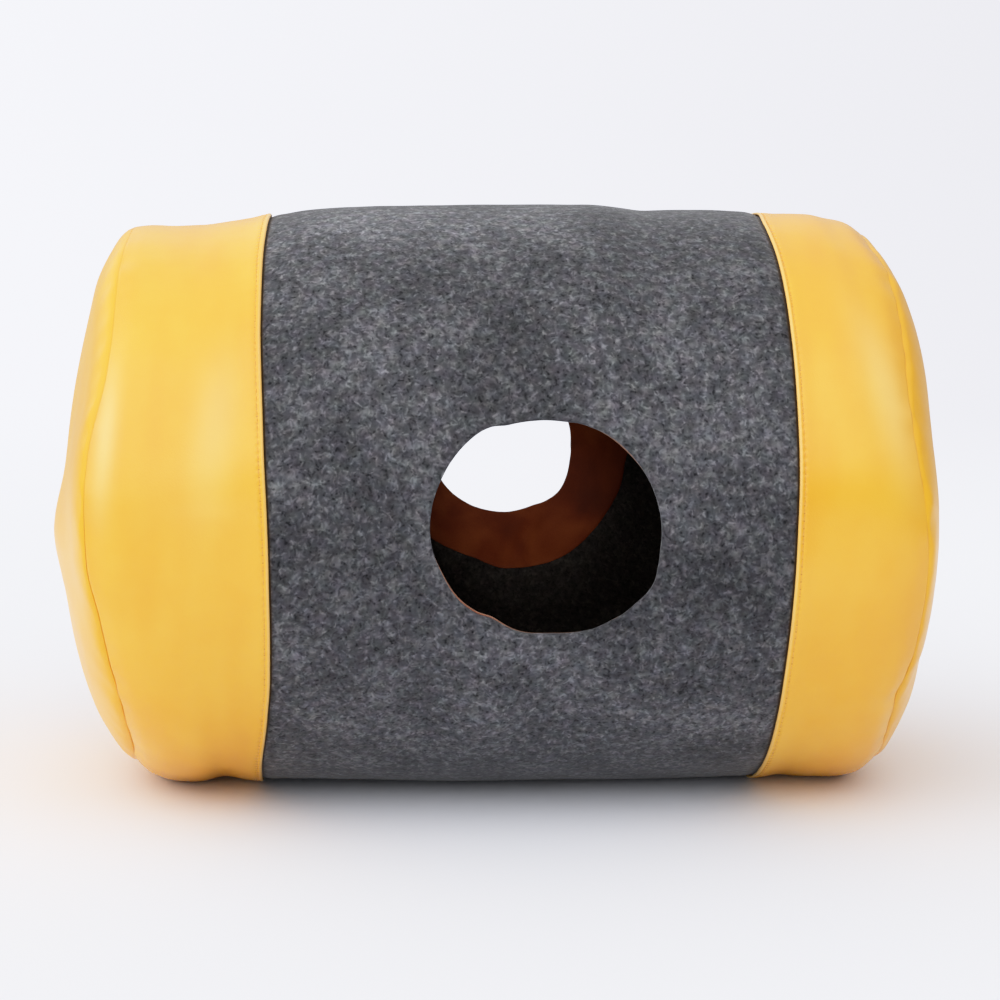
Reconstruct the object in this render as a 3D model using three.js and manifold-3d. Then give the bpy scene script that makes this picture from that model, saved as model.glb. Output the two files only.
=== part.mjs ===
// Cat house: a soft barrel that lies on its side. A felt wall rolled into a tube, an opening in its front and one in its
// back, a leather band over each end of the tube, and a domed leather disc that closes each band.
// Millimetres, +Z up, +X along the barrel, -Y is the front. The origin is on the floor under the middle.
import * as THREE from "three";
import Module from "manifold-3d";

// ---- driving sizes ----
const FELT_T = 3.0; // thickness of the felt wall
const LEATHER_T = 1.6; // thickness of the bands and the end discs
const FACING_T = 1.2; // thickness of the facings round the openings
const GAP = 0.3; // air between two pieces
const LAP = 12; // how far a band lies over the felt
const ALLOWANCE = 7; // seam allowance turned inwards at a rim
const R_NOM = 190; // radius that turns an angle of the barrel into a length along its wall
const CENTRE = { x: -4.397, y: 0.338 }; // middle of the outline before it is moved over the origin
const FLOOR_BLEND = 3; // height over which the wall rounds into its flat sole
const LEATHER_UP = GAP + LEATHER_T; // outer face of the leather above the felt's outer face

// Cross-sections along the barrel. u: -2 left rim, -1 left band's edge, 1 right band's edge, 2 right rim.
// top: height of the felt level; halfDepth: front and back; sink: how far the round would reach under the floor.
const SECTIONS = [
  { u: -2.0, top: 359.8, halfDepth: 177.0, sink: -12.5 },
  { u: -1.87, top: 361.0, halfDepth: 184.0, sink: -3.5 },
  { u: -1.7, top: 360.2, halfDepth: 188.0, sink: 0.8 },
  { u: -1.5, top: 360.6, halfDepth: 190.0, sink: 1.8 },
  { u: -1.35, top: 362.4, halfDepth: 190.5, sink: 1.2 },
  { u: -1.18, top: 364.9, halfDepth: 191.0, sink: 1.2 },
  { u: -1.0, top: 368.3, halfDepth: 192.0, sink: 1.8 },
  { u: -0.86, top: 372.3, halfDepth: 193.0, sink: 2.4 },
  { u: -0.7, top: 374.2, halfDepth: 193.5, sink: 3.2 },
  { u: -0.45, top: 375.9, halfDepth: 194.0, sink: 3.6 },
  { u: -0.1, top: 377.2, halfDepth: 194.0, sink: 4.2 },
  { u: 0.28, top: 377.4, halfDepth: 194.0, sink: 4.6 },
  { u: 0.45, top: 375.2, halfDepth: 193.5, sink: 4.6 },
  { u: 0.55, top: 373.5, halfDepth: 193.5, sink: 4.5 },
  { u: 0.8, top: 373.9, halfDepth: 193.0, sink: 3.8 },
  { u: 0.93, top: 373.4, halfDepth: 192.5, sink: 2.7 },
  { u: 1.04, top: 370.4, halfDepth: 192.0, sink: 2.1 },
  { u: 1.25, top: 370.4, halfDepth: 191.5, sink: 1.4 },
  { u: 1.5, top: 370.0, halfDepth: 190.5, sink: 1.4 },
  { u: 1.68, top: 367.6, halfDepth: 188.5, sink: 1.8 },
  { u: 1.85, top: 365.3, halfDepth: 184.0, sink: 0.4 },
  { u: 2.0, top: 358.5, halfDepth: 177.0, sink: -8.5 },
];

// Where the seams run round the barrel. deg: 0 front, 90 top, 180 back, 270 bottom.
const SEAMS = [
  { deg: -90, leftRim: -238, leftBand: -157.5, rightBand: 163.5, rightRim: 241 },
  { deg: -60, leftRim: -238, leftBand: -157, rightBand: 163.5, rightRim: 241 },
  { deg: -38, leftRim: -242, leftBand: -152, rightBand: 164.2, rightRim: 239.5 },
  { deg: -28, leftRim: -247, leftBand: -150, rightBand: 164.5, rightRim: 244.8 },
  { deg: -17, leftRim: -252, leftBand: -149.6, rightBand: 165.3, rightRim: 248.5 },
  { deg: -6, leftRim: -258.5, leftBand: -150, rightBand: 166.4, rightRim: 250.2 },
  { deg: 5, leftRim: -259.5, leftBand: -151, rightBand: 167.4, rightRim: 247.5 },
  { deg: 16, leftRim: -257, leftBand: -152.6, rightBand: 168, rightRim: 242.5 },
  { deg: 24, leftRim: -252, leftBand: -153.4, rightBand: 168, rightRim: 239.8 },
  { deg: 32, leftRim: -247, leftBand: -154.3, rightBand: 167.9, rightRim: 238.8 },
  { deg: 42, leftRim: -244.5, leftBand: -155.1, rightBand: 167.6, rightRim: 239.5 },
  { deg: 60, leftRim: -243.4, leftBand: -154.6, rightBand: 166.8, rightRim: 238.5 },
  { deg: 76, leftRim: -241, leftBand: -152.6, rightBand: 165.6, rightRim: 233.5 },
  { deg: 90, leftRim: -239.8, leftBand: -150.8, rightBand: 168, rightRim: 234 },
  { deg: 125, leftRim: -243, leftBand: -152.5, rightBand: 166.5, rightRim: 240 },
  { deg: 165, leftRim: -250, leftBand: -152, rightBand: 167, rightRim: 246 },
  { deg: 200, leftRim: -249, leftBand: -151.5, rightBand: 167, rightRim: 247 },
  { deg: 235, leftRim: -242, leftBand: -154, rightBand: 165, rightRim: 242 },
  { deg: 270, leftRim: -238, leftBand: -157.5, rightBand: 163.5, rightRim: 241 },
];

// Soft folds. x and s: middle, s measured up the wall from the front's middle line; turn: direction of the fold from +X
// in degrees; length and width: half sizes; height: outwards is positive.
const FOLDS = [
  { x: -12, s: 152, turn: 88, length: 75, width: 26, height: -2.6 }, // trough above the front opening
  { x: 48, s: 165, turn: 97, length: 62, width: 24, height: 1.5 },
  { x: -100, s: 6, turn: 2, length: 62, width: 26, height: -2.0 }, // slack wall beside the opening, left
  { x: 122, s: 6, turn: -3, length: 55, width: 24, height: -2.2 }, // and right
  { x: -14, s: -112, turn: 75, length: 58, width: 15, height: 2.8 }, // ridge from the opening down to the floor
  { x: -54, s: -115, turn: 86, length: 52, width: 17, height: -2.2 },
  { x: 32, s: -115, turn: 93, length: 52, width: 16, height: -1.9 },
  { x: 84, s: -66, turn: -28, length: 36, width: 15, height: -1.8 }, // drag line at the opening's lower right
  { x: 116, s: -80, turn: -52, length: 46, width: 14, height: 1.7 },
  { x: -130, s: -46, turn: -52, length: 36, width: 15, height: 1.4 },
  { x: -188, s: 34, turn: 3, length: 55, width: 30, height: 1.6 }, // the band's fullest line, left
  { x: 208, s: 36, turn: -2, length: 55, width: 28, height: 2.2 }, // and right
  { x: -184, s: 96, turn: 84, length: 50, width: 16, height: 1.0 },
  { x: 60, s: 470, turn: 80, length: 80, width: 34, height: -1.8 }, // slack on the back
  { x: -70, s: 700, turn: 100, length: 70, width: 34, height: 1.6 },
];

// The openings, cut square to the sheet. s: height along the wall; facingOut: outer radius of the facing inside.
const OPENINGS = [
  { name: "front", x: 15.7, s: 7.5, radius: 68.3, facingOut: 104 },
  { name: "rear", x: 13.3, s: 9.3, radius: 53.0, facingOut: 95 },
];
const FACING_SHOWS = 0.8; // how far a facing reaches into its opening
// How far the front opening's cut edge strays from its circle. deg: 0 towards +X, 90 up.
const FRONT_CUT = [
  { deg: 0, out: 0.3 },
  { deg: 30, out: -2.3 },
  { deg: 60, out: -3.8 },
  { deg: 78, out: -5.0 },
  { deg: 98, out: -4.7 },
  { deg: 110, out: -3.4 },
  { deg: 122, out: 0.2 },
  { deg: 150, out: 0.5 },
  { deg: 190, out: 1.4 },
  { deg: 212, out: 0.2 },
  { deg: 230, out: -0.3 },
  { deg: 242, out: -2.7 },
  { deg: 254, out: -1.4 },
  { deg: 272, out: -0.3 },
  { deg: 288, out: 2.4 },
  { deg: 304, out: 3.8 },
  { deg: 328, out: 4.5 },
  { deg: 342, out: 2.2 },
  { deg: 360, out: 0.3 },
];

// The end discs. apexX, apexZ: their fullest point; round: 1 a half ellipse, 0 a parabola.
const ENDS = {
  left: { apexX: -284.1, apexZ: 176, round: 0.66 },
  right: { apexX: 278.3, apexZ: 178, round: 0.64 },
};
// Bulges and dents of the end discs. side -1 left, 1 right; wide along Y and tall along Z are half sizes.
const BULGES = [
  { side: -1, y: -55, z: 170, wide: 60, tall: 30, out: 7.1 },
  { side: -1, y: -60, z: 80, wide: 80, tall: 55, out: 3.4 },
  { side: -1, y: -50, z: 125, wide: 70, tall: 35, out: 1.2 },
  { side: -1, y: -55, z: 285, wide: 80, tall: 50, out: -1.4 },
  { side: -1, y: -50, z: 335, wide: 70, tall: 22, out: 2.5 },
  { side: -1, y: 70, z: 200, wide: 70, tall: 70, out: 2.0 },
  { side: 1, y: -70, z: 150, wide: 70, tall: 40, out: -1.8 },
  { side: 1, y: -60, z: 75, wide: 70, tall: 40, out: 4.2 },
  { side: 1, y: 60, z: 170, wide: 70, tall: 60, out: 2.5 },
];

// Rows of the grids: along the felt and the bands, across the discs, and the angles round the barrel.
const FELT_ROWS = [-1, -0.86, -0.66, -0.46, -0.26, -0.09, 0.08, 0.25, 0.45, 0.65, 0.86, 1];
const BAND_ROWS = [1, 1.28, 1.54, 1.73, 1.87, 1.95];
const DISC_ROWS = [0.42, 0.7, 0.87, 0.95, 0.988];
const FRONT_STEPS = 28; // from -80 to 110 degrees, where the folds are
const BACK_STEPS = 14;

const rad = THREE.MathUtils.degToRad;

// ---- smooth tables ----
function smooth(rows, key, value) {
  const xs = rows.map((r) => r[key]),
    ys = rows.map((r) => r[value]),
    n = xs.length;
  const h = xs.slice(1).map((x, i) => x - xs[i]);
  const d = h.map((w, i) => (ys[i + 1] - ys[i]) / w);
  const m = xs.map((_, i) =>
    i === 0
      ? d[0]
      : i === n - 1
        ? d[n - 2]
        : d[i - 1] * d[i] > 0
          ? (2 * d[i - 1] * d[i]) / (d[i - 1] + d[i])
          : 0,
  );
  return (x) => {
    const v = Math.min(Math.max(x, xs[0]), xs[n - 1]);
    let i = 0;
    while (i < n - 2 && v > xs[i + 1]) i++;
    const t = (v - xs[i]) / h[i],
      q = 1 - t;
    return (
      ys[i] * (1 + 2 * t) * q * q +
      h[i] * m[i] * t * q * q +
      ys[i + 1] * t * t * (3 - 2 * t) +
      h[i] * m[i + 1] * t * t * (t - 1)
    );
  };
}
const topAt = smooth(SECTIONS, "u", "top"),
  depthAt = smooth(SECTIONS, "u", "halfDepth"),
  sinkAt = smooth(SECTIONS, "u", "sink");
const seamAt = Object.fromEntries(
  ["leftRim", "leftBand", "rightBand", "rightRim"].map((k) => [k, smooth(SEAMS, "deg", k)]),
);
const frontCut = smooth(FRONT_CUT, "deg", "out");

// ---- the wall ----
const turned = (th) => {
  const d = THREE.MathUtils.radToDeg(th);
  return ((((d + 90) % 360) + 360) % 360) - 90;
};
function xAt(u, th) {
  const d = turned(th),
    lb = seamAt.leftBand(d),
    rb = seamAt.rightBand(d);
  if (u < -1) return lb + (seamAt.leftRim(d) - lb) * (-1 - u);
  if (u > 1) return rb + (seamAt.rightRim(d) - rb) * (u - 1);
  return lb + ((rb - lb) * (u + 1)) / 2;
}
function uAt(x, th) {
  const d = turned(th),
    lb = seamAt.leftBand(d),
    rb = seamAt.rightBand(d);
  if (x < lb) return -1 - (x - lb) / (seamAt.leftRim(d) - lb);
  if (x > rb) return 1 + (x - rb) / (seamAt.rightRim(d) - rb);
  return (2 * (x - lb)) / (rb - lb) - 1;
}
const ease = (t) => {
  const c = Math.min(Math.max(t, 0), 1);
  return c * c * (3 - 2 * c);
};
function foldAt(x, th) {
  const s = rad(turned(th)) * R_NOM;
  let h = 0;
  for (const f of FOLDS) {
    const c = Math.cos(rad(f.turn)),
      k = Math.sin(rad(f.turn));
    const a = ((x - f.x) * c + (s - f.s) * k) / f.length,
      b = (-(x - f.x) * k + (s - f.s) * c) / f.width;
    const e = a * a + b * b;
    if (e < 20) h += f.height * Math.exp(-e);
  }
  return h;
}
// The felt level: the section's round, the folds on it, and the flat sole where it meets the floor.
function level(u, th) {
  const sink = sinkAt(u),
    half = (topAt(u) + sink) / 2,
    mid = half - sink,
    deep = depthAt(u);
  const x = xAt(u, th),
    c = Math.cos(th),
    k = Math.sin(th);
  const ny = -c * half,
    nz = k * deep,
    n = Math.hypot(ny, nz),
    h = foldAt(x, th);
  const sole = LEATHER_UP * ease((Math.abs(u) - 0.86) / 0.14);
  const z = mid + half * k + (h * nz) / n,
    up = z - sole,
    b = Math.max(FLOOR_BLEND - Math.abs(up), 0) / FLOOR_BLEND;
  return new THREE.Vector3(
    x - CENTRE.x,
    -deep * c + (h * ny) / n - CENTRE.y,
    sole + Math.max(up, 0) + (b * b * FLOOR_BLEND) / 4,
  );
}
// A point off the felt level, square to it.
function wall(u, th, off) {
  const e = 1e-4,
    a = level(u + e, th).sub(level(u - e, th)),
    b = level(u, th + e).sub(level(u, th - e));
  const n = b.cross(a).normalize();
  return level(u, th).addScaledVector(n, -off);
}

// ---- grids ----
const FRONT_FROM = rad(-80),
  FRONT_TO = rad(110);
const ANGLES = [];
for (let i = 0; i < FRONT_STEPS; i++) ANGLES.push(FRONT_FROM + ((FRONT_TO - FRONT_FROM) * i) / FRONT_STEPS);
for (let i = 0; i < BACK_STEPS; i++)
  ANGLES.push(FRONT_TO + ((2 * Math.PI - FRONT_TO + FRONT_FROM) * i) / BACK_STEPS);

// A closed body from loops of points: each row goes once round, and the last row joins the first.
// With poles, the first and the last row each close on one point instead. The faces of the outer rows are split along
// one diagonal and those from row `turn` on along the other, so that both sides of a sheet have the same folds.
function body(rows, turn, first, poles) {
  const n = rows[0].length,
    pos = [],
    idx = [];
  rows.forEach((r) => r.forEach((p) => pos.push(p.x, p.y, p.z)));
  const last = poles ? rows.length - 1 : rows.length;
  for (let i = 0; i < last; i++)
    for (let j = 0; j < n; j++) {
      const i2 = (i + 1) % rows.length,
        j2 = (j + 1) % n;
      const a = i * n + j,
        b = i * n + j2,
        c = i2 * n + j2,
        d = i2 * n + j;
      if (i < turn === first) idx.push(a, b, c, a, c, d);
      else idx.push(a, b, d, b, c, d);
    }
  if (poles) {
    const pole = pos.length / 3;
    pos.push(poles[0].x, poles[0].y, poles[0].z, poles[1].x, poles[1].y, poles[1].z);
    for (let j = 0; j < n; j++) {
      const j2 = (j + 1) % n,
        k = (rows.length - 1) * n;
      idx.push(pole, j2, j, pole + 1, k + j, k + j2);
    }
  }
  return { pos, idx };
}
const wasm = await Module();
wasm.setup();
function solid({ pos, idx }) {
  const make = (tri) =>
    new wasm.Manifold(
      new wasm.Mesh({ numProp: 3, vertProperties: Float32Array.from(pos), triVerts: Uint32Array.from(tri) }),
    );
  const s = make(idx);
  if (s.volume() > 0) return s;
  const back = [];
  for (let i = 0; i < idx.length; i += 3) back.push(idx[i], idx[i + 2], idx[i + 1]);
  return make(back);
}
const round = (fn) => ANGLES.map(fn);
// The ends of the felt under the bands' edges.
const lapU = (side) => (th) => uAt(xAt(side, th) + side * LAP, th);

// ---- the felt wall ----
function sheet(outer, inner) {
  const rows = [(th) => lapU(-1)(th), ...FELT_ROWS.map((u) => () => u), (th) => lapU(1)(th)];
  const out = rows.map((u) => round((th) => wall(u(th), th, outer)));
  const ins = rows.map((u) => round((th) => wall(u(th), th, inner))).reverse();
  return solid(body([...out, ...ins], out.length, true));
}
// The plug that cuts an opening, or trims a facing, square to the sheet.
const PLUG_STEPS = 34;
function plug(o, radius, outer, inner) {
  const at = (x, s, off) => {
    const th = o.name === "front" ? s / R_NOM : Math.PI - s / R_NOM;
    return wall(uAt(x, th), th, off);
  };
  const ring = (off) =>
    Array.from({ length: PLUG_STEPS }, (_, i) => {
      const a = (2 * Math.PI * i) / PLUG_STEPS,
        r = radius(THREE.MathUtils.radToDeg(a));
      return at(o.x + r * Math.cos(a), o.s + r * Math.sin(a), off);
    });
  return solid(body([ring(outer), ring(inner)], 9, true, [at(o.x, o.s, outer), at(o.x, o.s, inner)]));
}
const cutRadius = (o, less) => (deg) => o.radius - less + (o.name === "front" ? frontCut(deg) : 0);
let felt = sheet(0, -FELT_T);
for (const o of OPENINGS) felt = felt.subtract(plug(o, cutRadius(o, 0), 14, -14));

// ---- a facing: a ring of the inner sheet round its opening ----
function facing(o) {
  const skin = sheet(-FELT_T - GAP, -FELT_T - GAP - FACING_T);
  return skin.intersect(plug(o, () => o.facingOut, 26, -30)).subtract(plug(o, cutRadius(o, FACING_SHOWS), 14, -16));
}

// ---- a band: the tube, its rounded shoulder, and the allowance turned in at the rim ----
// A point at a rim: along = outwards along X from the seam's plane, off = square to the round, outwards.
function atRim(side, th, along, off) {
  const p = level(2 * side, th),
    half = (topAt(2 * side) + sinkAt(2 * side)) / 2,
    deep = depthAt(2 * side);
  const ny = -Math.cos(th) * half,
    nz = Math.sin(th) * deep,
    n = Math.hypot(ny, nz);
  return new THREE.Vector3(p.x + side * along, p.y + (off * ny) / n, p.z + (off * nz) / n);
}
function band(side) {
  const rows = BAND_ROWS.map((u) => u * side);
  const out = rows.map((u) => round((th) => wall(u, th, LEATHER_UP)));
  const ins = rows.map((u) => round((th) => wall(u, th, GAP))).reverse();
  const rim = [
    [-1.1, 1.75],
    [-0.15, 0.7],
    [-0.15, -ALLOWANCE],
    [-0.15 - LEATHER_T, -ALLOWANCE],
    [-0.15 - LEATHER_T, -1.1],
  ].map(([along, off]) => round((th) => atRim(side, th, along, off)));
  return solid(body([...out, ...rim, ...ins], out.length + 2, side > 0));
}

// ---- an end disc: the dome and the allowance turned in at the rim ----
function dome(side, r, th) {
  const end = side < 0 ? ENDS.left : ENDS.right,
    p = atRim(side, th, 0.15, 0.9);
  const ax = end.apexX - CENTRE.x,
    full = end.round * Math.sqrt(Math.max(1 - r * r, 0)) + (1 - end.round) * (1 - r * r);
  const v = new THREE.Vector3(
    p.x + (ax - p.x) * full,
    (p.y + CENTRE.y) * r - CENTRE.y,
    end.apexZ + (p.z - end.apexZ) * r,
  );
  const stay = Math.min((1 - r) * 6, 1);
  for (const b of BULGES)
    if (b.side === side)
      v.x +=
        side * b.out * stay * Math.exp(-(((v.y + CENTRE.y - b.y) / b.wide) ** 2) - ((v.z - b.z) / b.tall) ** 2);
  return v;
}
function disc(side) {
  const skin = (r, th, off) => {
    const e = 1e-4,
      a = dome(side, r + e, th).sub(dome(side, r - e, th)),
      b = dome(side, r, th + e).sub(dome(side, r, th - e));
    const n = a.cross(b).normalize();
    if (n.x * side < 0) n.negate();
    return dome(side, r, th).addScaledVector(n, -off);
  };
  const out = DISC_ROWS.map((r) => round((th) => skin(r, th, 0)));
  const rim = [
    [0.6, 1.5],
    [0.15, 0.7],
    [0.15, -ALLOWANCE],
    [0.15 + LEATHER_T, -ALLOWANCE],
    [0.15 + LEATHER_T, -1.9],
  ].map(([along, off]) => round((th) => atRim(side, th, along, off)));
  const ins = DISC_ROWS.slice(0, -1).map((r) => round((th) => skin(r, th, LEATHER_T))).reverse();
  const apex = dome(side, 0, 0),
    under = apex.clone();
  under.x -= side * LEATHER_T;
  return solid(body([...out, ...rim, ...ins], out.length + 2, true, [apex, under]));
}

// ---- the group ----
const group = new THREE.Group();
function place(name, made, color, roughness) {
  const m = made.getMesh(),
    n = m.numProp,
    v = new Float32Array(m.numVert * 3);
  for (let i = 0; i < m.numVert; i++) v.set(m.vertProperties.subarray(i * n, i * n + 3), i * 3);
  const g = new THREE.BufferGeometry()
    .setAttribute("position", new THREE.BufferAttribute(v, 3))
    .setIndex(new THREE.BufferAttribute(m.triVerts, 1));
  g.computeVertexNormals();
  const mesh = new THREE.Mesh(g, new THREE.MeshStandardMaterial({ color, roughness, metalness: 0 }));
  mesh.name = name;
  group.add(mesh);
}
const GREY = 0x64646a,
  YELLOW = 0xf2bf45,
  CHESTNUT = 0x8a4a2c;
place("felt_body", felt, GREY, 0.95);
place("left_band", band(-1), YELLOW, 0.5);
place("right_band", band(1), YELLOW, 0.5);
place("left_end", disc(-1), YELLOW, 0.5);
place("right_end", disc(1), YELLOW, 0.5);
place("front_facing", facing(OPENINGS[0]), CHESTNUT, 0.6);
place("rear_facing", facing(OPENINGS[1]), CHESTNUT, 0.6);

export default group;
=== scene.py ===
"""Cat house: a soft barrel on its side, grey felt with a round way in front and a smaller one behind, a yellow leather
band stitched over each end, and a domed leather disc turned into each band. Made in millimetres, written in metres."""

import math

import bpy
import numpy as np
from mathutils import Matrix, Vector


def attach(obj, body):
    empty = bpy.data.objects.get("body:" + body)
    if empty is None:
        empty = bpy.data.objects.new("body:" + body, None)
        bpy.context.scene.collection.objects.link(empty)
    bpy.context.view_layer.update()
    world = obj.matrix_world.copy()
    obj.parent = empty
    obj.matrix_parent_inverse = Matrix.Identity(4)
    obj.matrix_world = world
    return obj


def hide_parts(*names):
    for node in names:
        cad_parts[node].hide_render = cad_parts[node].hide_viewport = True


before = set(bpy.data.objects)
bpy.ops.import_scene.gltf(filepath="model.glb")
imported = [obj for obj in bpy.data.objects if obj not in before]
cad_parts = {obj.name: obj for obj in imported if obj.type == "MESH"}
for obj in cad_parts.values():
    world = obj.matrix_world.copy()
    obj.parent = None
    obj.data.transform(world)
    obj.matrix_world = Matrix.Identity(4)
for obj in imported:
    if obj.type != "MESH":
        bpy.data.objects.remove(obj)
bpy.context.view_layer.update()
scene = bpy.context.scene

# ---------------------------------------------------------------------------------------------------------------- camera
camera = bpy.data.objects.new("camera", bpy.data.cameras.new("camera"))
scene.collection.objects.link(camera)
scene.camera = camera
camera.data.sensor_width = 36.0
camera.data.lens = 97.74
camera.data.clip_start, camera.data.clip_end = 0.05, 60.0
AIM = Vector((0.004397, -0.000338, 0.181))
DISTANCE, ELEVATION, AZIMUTH, ROLL = 1.810, math.radians(8.2), math.radians(-3.7), math.radians(0.40)
back = Vector(
    (
        math.sin(AZIMUTH) * math.cos(ELEVATION),
        -math.cos(AZIMUTH) * math.cos(ELEVATION),
        math.sin(ELEVATION),
    )
)
camera.rotation_mode = "QUATERNION"
camera.location = AIM + back * DISTANCE
camera.rotation_quaternion = (
    (-back).to_track_quat("-Z", "Y").to_matrix() @ Matrix.Rotation(ROLL, 3, "Z")
).to_quaternion()

# ----------------------------------------------------------------------------------------------------------------- sizes
FELT_T = 3.0
LEATHER_T = 1.6
FACING_T = 1.2
GAP = 0.3
LAP = 12.0
ALLOWANCE = 7.0
R_NOM = 190.0
CENTRE = (-4.397, 0.338)
FLOOR_BLEND = 3.0
LEATHER_UP = GAP + LEATHER_T
FACING_SHOWS = 0.8
PERIOD = 2 * math.pi * R_NOM
STITCH = 4.7  # pitch of the topstitch
STITCH_IN = 3.0  # topstitch from the band's folded edge


def table(columns, rows):
    a = np.array(rows, float)
    return {k: a[:, i] for i, k in enumerate(columns.split())}


SECTIONS = table(
    "u top deep sink",
    [
        (-2.00, 359.8, 177.0, -12.5), (-1.87, 361.0, 184.0, -3.5), (-1.70, 360.2, 188.0, 0.8),
        (-1.50, 360.6, 190.0, 1.8), (-1.35, 362.4, 190.5, 1.2), (-1.18, 364.9, 191.0, 1.2),
        (-1.00, 368.3, 192.0, 1.8), (-0.86, 372.3, 193.0, 2.4), (-0.70, 374.2, 193.5, 3.2),
        (-0.45, 375.9, 194.0, 3.6), (-0.10, 377.2, 194.0, 4.2), (0.28, 377.4, 194.0, 4.6),
        (0.45, 375.2, 193.5, 4.6), (0.55, 373.5, 193.5, 4.5), (0.80, 373.9, 193.0, 3.8),
        (0.93, 373.4, 192.5, 2.7), (1.04, 370.4, 192.0, 2.1), (1.25, 370.4, 191.5, 1.4),
        (1.50, 370.0, 190.5, 1.4), (1.68, 367.6, 188.5, 1.8), (1.85, 365.3, 184.0, 0.4),
        (2.00, 358.5, 177.0, -8.5),
    ],
)
SEAMS = table(
    "deg left_rim left_band right_band right_rim",
    [
        (-90, -238.0, -157.5, 163.5, 241.0), (-60, -238.0, -157.0, 163.5, 241.0), (-38, -242.0, -152.0, 164.2, 239.5),
        (-28, -247.0, -150.0, 164.5, 244.8), (-17, -252.0, -149.6, 165.3, 248.5), (-6, -258.5, -150.0, 166.4, 250.2),
        (5, -259.5, -151.0, 167.4, 247.5), (16, -257.0, -152.6, 168.0, 242.5), (24, -252.0, -153.4, 168.0, 239.8),
        (32, -247.0, -154.3, 167.9, 238.8), (42, -244.5, -155.1, 167.6, 239.5), (60, -243.4, -154.6, 166.8, 238.5),
        (76, -241.0, -152.6, 165.6, 233.5), (90, -239.8, -150.8, 168.0, 234.0), (125, -243.0, -152.5, 166.5, 240.0),
        (165, -250.0, -152.0, 167.0, 246.0), (200, -249.0, -151.5, 167.0, 247.0), (235, -242.0, -154.0, 165.0, 242.0),
        (270, -238.0, -157.5, 163.5, 241.0),
    ],
)
# Soft folds, as in the solids.
FOLDS = table(
    "x s turn length width height",
    [
        (-12, 152, 88, 75, 26, -2.6), (48, 165, 97, 62, 24, 1.5), (-100, 6, 2, 62, 26, -2.0),
        (122, 6, -3, 55, 24, -2.2), (-14, -112, 75, 58, 15, 2.8), (-54, -115, 86, 52, 17, -2.2),
        (32, -115, 93, 52, 16, -1.9), (84, -66, -28, 36, 15, -1.8), (116, -80, -52, 46, 14, 1.7),
        (-130, -46, -52, 36, 15, 1.4), (-188, 34, 3, 55, 30, 1.6), (208, 36, -2, 55, 28, 2.2),
        (-184, 96, 84, 50, 16, 1.0), (60, 470, 80, 80, 34, -1.8), (-70, 700, 100, 70, 34, 1.6),
    ],
)
# Finer creases that only the visual model carries.
CREASES = table(
    "x s turn length width height",
    [
        (-13, 104, 88, 34, 7, -0.9), (-3, 104, 88, 30, 6, 0.6), (72, -56, -24, 34, 6, 0.9),
        (72, -66, -24, 34, 6, -0.6), (-128, -46, -52, 30, 7, 0.7), (-8, -125, 80, 44, 7, 0.9),
        (-181, 92, 82, 46, 7, 0.5), (-246, -40, 70, 40, 8, 0.6), (236, -90, 100, 40, 8, 0.6),
        (90, 292, 92, 26, 12, -0.9), (-182, -234, 90, 62, 11, -3.4), (184, -236, 90, 55, 9, -1.7),
    ],
)
FRONT = {"x": 15.7, "t": 7.5, "radius": 68.3, "out": 104.0}
REAR = {"x": 13.3, "t": PERIOD / 2 - 9.3, "radius": 53.0, "out": 89.0}
FRONT_CUT = table(
    "deg out",
    [
        (0, 0.9), (12, -0.2), (30, -1.4), (45, -2.5), (60, -3.3), (72, -4.2), (80, -5.2), (96, -4.9), (110, -3.7),
        (119, -0.4), (126, 0.4), (150, 0.2), (168, 1.0), (190, 1.7), (205, 1.0), (222, 2.0), (233, 1.3), (242, -0.9),
        (252, 0.4), (262, 1.3), (272, 1.7), (285, 3.9), (300, 5.5), (319, 5.9), (329, 6.1), (340, 3.6), (350, 1.6),
        (360, 0.9),
    ],
)
REAR_CUT = table(
    "deg out",
    [
        (0, -1.8), (14, -0.6), (26, 1.2), (42, 2.7), (54, 1.4), (66, -0.7), (91, -0.6), (107, -0.8), (148, -0.2),
        (200, 0.5), (250, -0.8), (300, 0.8), (360, -1.8),
    ],
)
REAR_OUT = table(
    "deg out",
    [
        (0, 5.0), (8, 3.0), (22, 3.8), (33, 3.7), (44, 4.4), (63, 7.4), (78, 6.6), (90, 6.0), (97, 3.0), (104, 0.4),
        (122, -0.8), (150, 2.0), (200, 5.0), (250, 7.0), (310, 4.6), (360, 5.0),
    ],
)
# How far each facing shows past the felt's cut edge, or stays back behind it.
FRONT_SHOWS = table(
    "deg out",
    [
        (0, -0.9), (22, -0.4), (45, 0.1), (75, -0.8), (120, -1.0), (165, -0.6), (190, -0.2), (215, 0.3), (238, 0.5),
        (255, -0.3), (280, -0.9), (320, -1.0), (360, -0.9),
    ],
)
REAR_SHOWS = table("deg out", [(0, 0.6), (60, 0.9), (120, 0.7), (200, 0.5), (290, 0.8), (360, 0.6)])
ENDS = {-1: (-284.1, 176.0, 0.66), 1: (278.3, 178.0, 0.64)}
BULGES = [
    (-1, -55, 170, 60, 30, 7.1), (-1, -60, 80, 80, 55, 3.4), (-1, -50, 125, 70, 35, 1.2), (-1, -55, 285, 80, 50, -1.4),
    (-1, -50, 335, 70, 22, 2.5), (-1, 70, 200, 70, 70, 2.0), (1, -70, 150, 70, 40, -1.8), (1, -60, 75, 70, 40, 4.2),
    (1, 60, 170, 70, 60, 2.5),
]


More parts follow.
